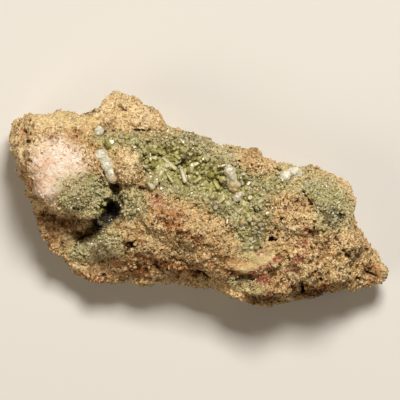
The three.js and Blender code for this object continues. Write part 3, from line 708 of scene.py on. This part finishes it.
def apatite_material():
    material, wire, shader = new_material(
        "apatite", Roughness=0.34, IOR=1.63, Transmission_Weight=0.25, Subsurface_Weight=0.3,
        Subsurface_Scale=0.5 * MM, Subsurface_Radius=(1.0, 0.95, 0.4),
    )
    place = wire.node("ShaderNodeTexCoord", {}, {}, "Object")
    tint = attribute(wire, "tint")
    frayed = warped(place, 1.5 * MM, 0.7 * MM)
    rich = patches(frayed, RICH_PATCHES)
    smoky = patches(frayed, SMOKY_PATCHES)
    drift = grain(place, 3 * MM, 2.0)
    colour = wire.node("ShaderNodeMix", {"data_type": "RGBA"}, {
        "Factor": (0.45 * tint + drift).between(0.42, 0.9), "A": SAGE, "B": PALE_SAGE,
    })
    rich_colour = wire.node("ShaderNodeMix", {"data_type": "RGBA"}, {
        "Factor": tint.between(0.1, 0.7), "A": DEEP_GREEN, "B": YELLOW_GREEN,
    })
    rich_colour = rich_colour.mixed(STRAW, tint.between(0.78, 0.9))
    colour = colour.mixed(CLOUDY_GREY, tint.between(0.5, 0.54) * (1 - tint.between(0.64, 0.68)))
    colour = colour.mixed(TAN, tint.between(0.4, 0.3) * drift.between(0.4, 0.6))
    colour = colour.mixed(rich_colour, rich * (0.7 + 0.25 * drift))
    colour = colour.mixed(SMOKY, smoky * (1 - tint.between(0.45, 0.8)))
    colour = colour.mixed(ROCK_COLOURS["white"], tint.between(0.93, 0.97) * 0.8)
    colour = colour.mixed(CREAM, patches(frayed, CREAM_PATCHES, 0.9) * (0.5 + 0.4 * tint))
    along = attribute(wire, "along")
    facet = attribute(wire, "facet")
    edge = (1 - attribute(wire, "sage")).between(0.1, 0.9)
    colour = colour.mixed(ROCK_COLOURS["buff"], edge * (0.4 + 0.5 * tint))
    # Painted shade: darker towards the crystals' roots
    colour = colour.mixed(SHADE_GREEN, along.between(0.5, 0.0) * 0.3)
    # Painted light and shade on the facets: the darker ones shaded, the brighter ones lit, most at the
    # tips
    colour = colour.mixed(SHADE_GREEN, facet.between(0.45, 0.0) * 0.5)
    colour = colour.mixed(LIT_FACET_STRAW, facet.between(0.6, 1.0) * (0.35 + 0.4 * along))
    # Painted shadow inside the vug, on the lining's crystals
    colour = colour.mixed(VUG_SHADOW, vug_shade(wire, place) * 0.95)
    fine = grain(place, 0.4 * MM, 2.0)
    feed(wire, shader, Base_Color=colour, Normal=bumped(wire, fine, 0.3, 0.1 * MM))
    return material


crystal_kinds = [crystal_kind(*habit) for habit in HABITS]
apatite = apatite_material()
for node, (spacing, sizes, seed) in CRUSTS.items():
    crust = merged_copy(node + "_druse", node)
    modified(crust, "DISPLACE", strength=CRUST_SWELL, mid_level=0.0)
    crust.data.transform(Matrix.Translation((0, 0, -CRUST_SINK)))
    modified(crust, "REMESH", mode="VOXEL", voxel_size=CRUST_VOXEL)
    modified(crust, "SMOOTH", factor=0.5, iterations=2)
    grown_by_nodes(crust, crusted(spacing, sizes, seed))
    crust.data.materials.clear()
    crust.data.materials.append(apatite)
    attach(crust, "root")
    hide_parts(node)

# The largest crystals of the middle crust, which lie across the smaller ones: prisms up to four
# millimetres long, yellow-green or milky, and a few stout blocks.
LARGE_CRYSTALS = [  # root and tip on the crystal face, radius, and tint from 0, deep green, to 1, milky
    ((-8.9, 10.2), (-5.9, 7.5), 0.56, 0.9), ((-8.0, 6.2), (-6.7, 4.3), 0.36, 0.92),
    ((-4.5, 7.2), (-3.6, 4.4), 0.62, 0.99), ((-2.2, 7.4), (-1.8, 8.8), 0.8, 0.86),
    ((-9.6, 8.2), (-8.2, 7.1), 0.5, 0.84), ((-12.4, 4.0), (-11.6, 3.0), 0.85, 0.95),
    ((1.0, 11.0), (1.9, 9.8), 0.5, 0.6), ((-1.0, 4.7), (0.2, 5.5), 0.5, 0.82),
    ((3.8, 4.2), (4.6, 2.9), 0.6, 0.75), ((-6.0, 11.1), (-5.0, 10.2), 0.5, 0.5),
    ((4.8, -0.5), (5.9, 0.4), 0.65, 0.8), ((-14.4, 8.7), (-13.2, 8.2), 0.55, 0.7),
    ((8.9, -2.3), (9.8, -3.2), 0.6, 0.75), ((1.3, 0.2), (2.1, -0.6), 0.65, 0.85),
]
LARGE_RISE = math.radians(24)  # how steeply they stand off the crust
LARGE_SINK = 0.25  # of the radius, which is how deep they lie in the smaller ones
LARGE_FLAT = 0.45  # of the radius, the width of the tip's flat end
LARGE_TIP = 0.6  # of the radius, the height of the tip


def large_crystal(crust, root, tip, radius, tint):
    """A crystal that lies on a crust from root to tip, with its tint as an attribute."""
    above = FACE_MIDDLE + Vector((*root, 50)) * MM
    _, place, _, _ = crust.ray_cast(above, Vector((0, 0, -1)))
    run = (Vector(tip) - Vector(root)).to_3d()
    length = run.length
    run.z = math.tan(LARGE_RISE) * length
    crystal = crystal_kind(radius, length, radius * LARGE_FLAT, radius * LARGE_TIP)
    place.z -= LARGE_SINK * radius * MM
    turned = run.to_track_quat("Z", "X").to_matrix().to_4x4()
    crystal.data.transform(Matrix.Translation(place) @ turned)
    for name, level in (("tint", tint), ("sage", 1.0)):
        for value in crystal.data.attributes.new(name, "FLOAT", "POINT").data:
            value.value = level
    crystal.data.materials.append(apatite)
    return crystal


middle_crust = bpy.data.objects["apatite_crust_centre_druse"]
large = [large_crystal(middle_crust, *crystal) for crystal in LARGE_CRYSTALS]
bpy.ops.object.select_all(action="DESELECT")
for crystal in [*large, middle_crust]:
    crystal.select_set(True)
bpy.context.view_layer.objects.active = middle_crust
bpy.ops.object.join()

# Strays: the same crystals, smaller and further apart, on the bare rock round the crusts. Right of
# the vug they are larger, and smoky.
STRAY_SPACING = 0.7
STRAY_SIZES = (0.28, 0.7)
STRAY_SEED = 11


def strayed(given):
    place = given.node("GeometryNodeInputPosition")
    height = given.node("ShaderNodeSeparateXYZ", {}, {"Vector": place}, "Z")
    density = value_of(given, "sage") * height.between(3 * MM, 6 * MM)
    growth = 1 + 0.9 * patches(place, [SMOKY_PATCHES[2]])
    return scattered(
        given, crystal_kinds, STRAY_SPACING, density, STRAY_SIZES, CRYSTAL_LEAN, STRAY_SEED, growth
    )


def own_copy(name, piece):
    """A copy of a piece with a mesh of its own."""
    copy = bpy.data.objects.new(name, piece.data.copy())
    bpy.context.collection.objects.link(copy)
    copy.data.materials.clear()
    return copy


strays = own_copy("apatite_strays", rock)
grown_by_nodes(strays, strayed)
strays.data.materials.clear()
strays.data.materials.append(apatite)
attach(strays, "root")

# The vug's lining: the same crystals as in the druse, grown inwards from the walls of the open
# cavity. They are painted nearly black as the vug's shadow, and only the uppermost show any green.
LINING_VOXEL = 0.3 * MM
LINING_SWELL = 0.1 * MM
LINING_CRYSTALS = (0.6, (0.5, 1.1), 13)  # as in CRUSTS

lining = merged_copy("vug_lining_druse", "vug_lining")
modified(lining, "DISPLACE", strength=LINING_SWELL, mid_level=0.0)
modified(lining, "REMESH", mode="VOXEL", voxel_size=LINING_VOXEL)
grown_by_nodes(lining, crusted(*LINING_CRYSTALS))
lining.data.materials.clear()
lining.data.materials.append(apatite)
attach(lining, "root")
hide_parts("vug_lining")

# The rock's grains: sugary crumbs of feldspar and clay, a third of a millimetre to one across, that
# the broken surface is made of. They lie closest on the face, and the smooth planes have few.
GRAINS = {"face_grains": (0.58, 21), "wall_grains": (0.72, 22)}  # spacing and seed
GRAIN_SIZES = (0.35, 1.05)


def grain_kind(shape, seed):
    """One crumb of rock, a millimetre across."""
    bpy.ops.object.select_all(action="DESELECT")
    bpy.ops.mesh.primitive_ico_sphere_add(subdivisions=1, radius=0.5 * MM)
    kind = bpy.context.object
    bpy.ops.object.mode_set(mode="EDIT")
    bpy.ops.mesh.select_all(action="SELECT")
    bpy.ops.transform.resize(value=shape)
    bpy.ops.transform.vertex_random(offset=0.14 * MM, seed=seed)
    bpy.ops.object.mode_set(mode="OBJECT")
    return kind


def grained(spacing, on_face, seed):
    """The geometry nodes that lay grains on the face, or else on the walls."""
    def build(given):
        normal = given.node("GeometryNodeInputNormal")
        up = given.node("ShaderNodeSeparateXYZ", {}, {"Vector": normal}, "Z")
        place = given.node("GeometryNodeInputPosition")
        height = given.node("ShaderNodeSeparateXYZ", {}, {"Vector": place}, "Z")
        smooth = given.math("MAXIMUM", value_of(given, "pink"), value_of(given, "yellow"))
        chosen = up.math("GREATER_THAN", up, 0.4)
        chosen = chosen if on_face else 1 - chosen
        clusters = grain(place, 2.4 * MM, 1.0).between(0.3, 0.5)
        density = chosen * (1 - 0.85 * smooth) * height.between(1.0 * MM, 2.0 * MM) * clusters
        return scattered(given, grain_kinds, spacing, density, GRAIN_SIZES, math.pi, seed)
    return build


grain_kinds = [grain_kind((1, 0.8, 0.7), 1), grain_kind((0.9, 0.9, 0.9), 2),
               grain_kind((1.1, 0.75, 0.6), 3)]
for name, (spacing, seed) in GRAINS.items():
    grains = own_copy(name, rock)
    grown_by_nodes(grains, grained(spacing, name == "face_grains", seed))
    grains.data.materials.clear()
    grains.data.materials.append(rock.data.materials[0])
    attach(grains, "root")

for kind in crystal_kinds + grain_kinds:
    bpy.data.objects.remove(kind)

# The chalcedony: waxy milky knobs and a stalk that ran together from drops, grown on the rock and
# the druse. Their skin is smooth, uneven and slightly see-through.
CHALCEDONY_VOXEL = 0.14 * MM
# Each piece's swelling, how deep it sits in what it grew on, the smoothing of its drops and the
# filling of the necks between them
CHALCEDONY = {
    "chalcedony_stalk": (0.7 * MM, 0.9 * MM, 50, 0.5 * MM),
    "chalcedony_knob_left": (0.3 * MM, 0.9 * MM, 16, 0.2 * MM),
    "chalcedony_knob_centre": (0.6 * MM, 1.3 * MM, 60, 0.7 * MM),
    "chalcedony_knob_right": (0.1 * MM, 1.2 * MM, 20, 0.3 * MM),
}
MILKY = (0.92, 0.87, 0.72, 1)
CLOUDY = (0.62, 0.58, 0.45, 1)
TAN_FOOT = (0.75, 0.57, 0.3, 1)
TAN_FEET = [((8.6, 2.9), (2, 1.8), 0), ((-21.4, 5.4), (0.8, 1.2), 0)]
GREENISH = (0.64, 0.61, 0.42, 1)
GREEN_SIDES = [((8.2, 5.4), (2.6, 2.4), 0), ((9.2, 7.6), (1.4, 1.6), 0)]


def chalcedony_material():
    material, wire, shader = new_material(
        "chalcedony", Roughness=0.32, IOR=1.54, Transmission_Weight=0.12, Subsurface_Weight=0.25,
        Subsurface_Scale=0.8 * MM, Subsurface_Radius=(1.0, 0.9, 0.7),
    )
    place = wire.node("ShaderNodeTexCoord", {}, {}, "Object")
    clouds = grain(place, 1.3 * MM, 3.0)
    colour = wire.node("ShaderNodeMix", {"data_type": "RGBA"}, {
        "Factor": clouds.between(0.38, 0.62), "A": CLOUDY, "B": MILKY,
    })
    colour = colour.mixed(GREENISH, patches(place, GREEN_SIDES) * 0.8)
    colour = colour.mixed(TAN_FOOT, patches(warped(place, 1 * MM, 0.5 * MM), TAN_FEET) * 0.8)
    fine = grain(place, 0.3 * MM, 2.0)
    feed(wire, shader, Base_Color=colour, Normal=bumped(wire, fine, 0.25, 0.1 * MM))
    return material


def waxy(given):
    """The uneven, dripped skin of the chalcedony."""
    place = given.node("GeometryNodeInputPosition")
    normal = given.node("GeometryNodeInputNormal")
    uneven = (grain(place, 2.1 * MM, 2.0) - 0.5) * (1.5 * MM)
    dimples = cells(warped(place, 0.8 * MM, 0.2 * MM), 0.9 * MM).between(0.5, 0.9) * (0.12 * MM)
    return moved(given, normal.scaled(uneven - dimples))


chalcedony = chalcedony_material()
for node, (swell, sunk, rounds, fill) in CHALCEDONY.items():
    piece = merged_copy(node + "_waxy", node)
    modified(piece, "DISPLACE", strength=swell + fill, mid_level=0.0)
    piece.data.transform(Matrix.Translation((0, 0, -sunk)))
    modified(piece, "REMESH", mode="VOXEL", voxel_size=CHALCEDONY_VOXEL)
    modified(piece, "SMOOTH", factor=0.8, iterations=rounds)
    modified(piece, "DISPLACE", strength=-fill, mid_level=0.0)
    modified(piece, "SMOOTH", factor=0.5, iterations=6)
    grown_by_nodes(piece, waxy)
    piece.data.materials.clear()
    piece.data.materials.append(chalcedony)
    bpy.ops.object.shade_smooth()
    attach(piece, "root")
    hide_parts(node)

# The white crystal: three blocky milky crystals, each about two millimetres across, grown into
# one another on the druse beside the middle knob. Their edges are a little rounded.
BLOCK_EDGE = 0.06 * MM
WHITE_CRYSTALS = [  # offset from the CAD crystal's middle, size, lean about X and Y, and spin
    ((-0.35, -0.1, -0.3), 2.1, (25, -20, 10)), ((0.5, 0.25, -0.5), 1.8, (-30, 25, 40)),
    ((0.05, -0.5, -0.7), 1.5, (50, 15, 70)),
]
lowest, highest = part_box("white_crystal")
middle = (lowest + highest) / 2
bpy.ops.object.select_all(action="DESELECT")
blocks = []
for offset, size, turns in WHITE_CRYSTALS:
    block = crystal_kind(*HABITS[0])
    turned = Euler([math.radians(angle) for angle in turns]).to_matrix().to_4x4()
    place = Matrix.Translation(middle + Vector(offset) * MM)
    block.data.transform(place @ turned @ Matrix.Scale(size, 4))
    blocks.append(block)
bpy.ops.object.select_all(action="DESELECT")
for block in blocks:
    block.select_set(True)
bpy.ops.object.join()
white_crystal = bpy.context.object
white_crystal.name = "white_crystal_blocks"
modified(white_crystal, "BEVEL", width=BLOCK_EDGE, segments=2)
white_crystal.data.materials.clear()
white_crystal.data.materials.append(chalcedony)
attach(white_crystal, "root")
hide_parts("white_crystal")
